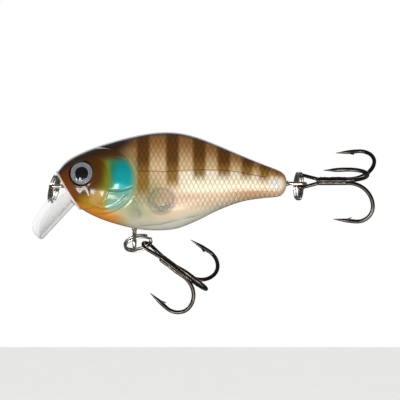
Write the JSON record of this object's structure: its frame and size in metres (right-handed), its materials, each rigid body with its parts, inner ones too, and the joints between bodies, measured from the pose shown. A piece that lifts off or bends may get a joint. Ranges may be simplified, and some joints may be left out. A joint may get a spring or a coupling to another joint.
{
  "type": "crankbait fishing lure",
  "caption": "Shallow-running crankbait with a clear painted body, a scooped diving bill, a towing eye with its ring, and brazed treble hooks hung on split rings.",
  "frame": {"origin": "middle of the towing eye's hole", "axes": "+X from the towing eye to the tail, +Y to the lure's right side, +Z to its back; swimming level"},
  "size_m": [0.0754, 0.019, 0.041],
  "materials": {
    "painted_clear_body": "airbrushed clear plastic under a glossy clear coat",
    "clear_bill": "clear polished plastic",
    "hanger_wire": "nickel plated wire",
    "ring_wire": "nickel plated spring wire",
    "hook_wire": "black nickel",
    "hook_braze": "plated braze",
    "eye_dome": "clear resin",
    "eye_foil": "holographic foil with a black pupil",
    "ball_steel": "polished steel",
    "keel_brass": "turned brass"
  },
  "bodies": {
    "lure": {"body_left": "painted_clear_body", "body_right": "painted_clear_body", "diving_bill": "clear_bill", "line_tie": "hanger_wire", "belly_hanger": "hanger_wire", "tail_hanger": "hanger_wire", "eye_lens_left": "eye_dome", "eye_foil_left": "eye_foil", "eye_lens_right": "eye_dome", "eye_foil_right": "eye_foil", "keel_weight": "keel_brass"},
    "nose_ring": {"nose_ring": "ring_wire"},
    "belly_ring": {"belly_ring": "ring_wire"},
    "belly_hook": {"belly_hook_double": "hook_wire", "belly_hook_single": "hook_wire", "belly_hook_braze": "hook_braze"},
    "tail_ring": {"tail_ring": "ring_wire"},
    "tail_hook": {"tail_hook_double": "hook_wire", "tail_hook_single": "hook_wire", "tail_hook_braze": "hook_braze"},
    "rattle": {"rattle_ball": "ball_steel"}
  },
  "joints": [
    {"name": "nose_ring_swing", "type": "hinge", "parent": "lure", "child": "nose_ring", "pos_m": [0, 0.00125, 0], "axis": [1, 0, 0], "range_deg": [-30, 70]},
    {"name": "belly_ring_swing", "type": "hinge", "parent": "lure", "child": "belly_ring", "pos_m": [0.01715, 0.00125, -0.012], "axis": [0, 0, 1], "range_deg": [-30, 60]},
    {"name": "belly_hook_swing", "type": "hinge", "parent": "belly_ring", "child": "belly_hook", "pos_m": [0.01965, 0.00494, -0.01332], "axis": [-0.726, 0.472, -0.5], "range_deg": [-40, 60]},
    {"name": "tail_ring_swing", "type": "hinge", "parent": "lure", "child": "tail_ring", "pos_m": [0.0533, 0.00125, 0.0006], "axis": [1, 0, 0], "range_deg": [-40, 70]},
    {"name": "tail_hook_swing", "type": "hinge", "parent": "tail_ring", "child": "tail_hook", "pos_m": [0.05424, 0.00523, 0.0012], "axis": [0.1701, 0.8305, -0.5303], "range_deg": [-60, 60]},
    {"name": "rattle_slide", "type": "slide", "parent": "lure", "child": "rattle", "axis": [0, 1, 0], "range_m": [-0.0024, 0.0024]}
  ]
}
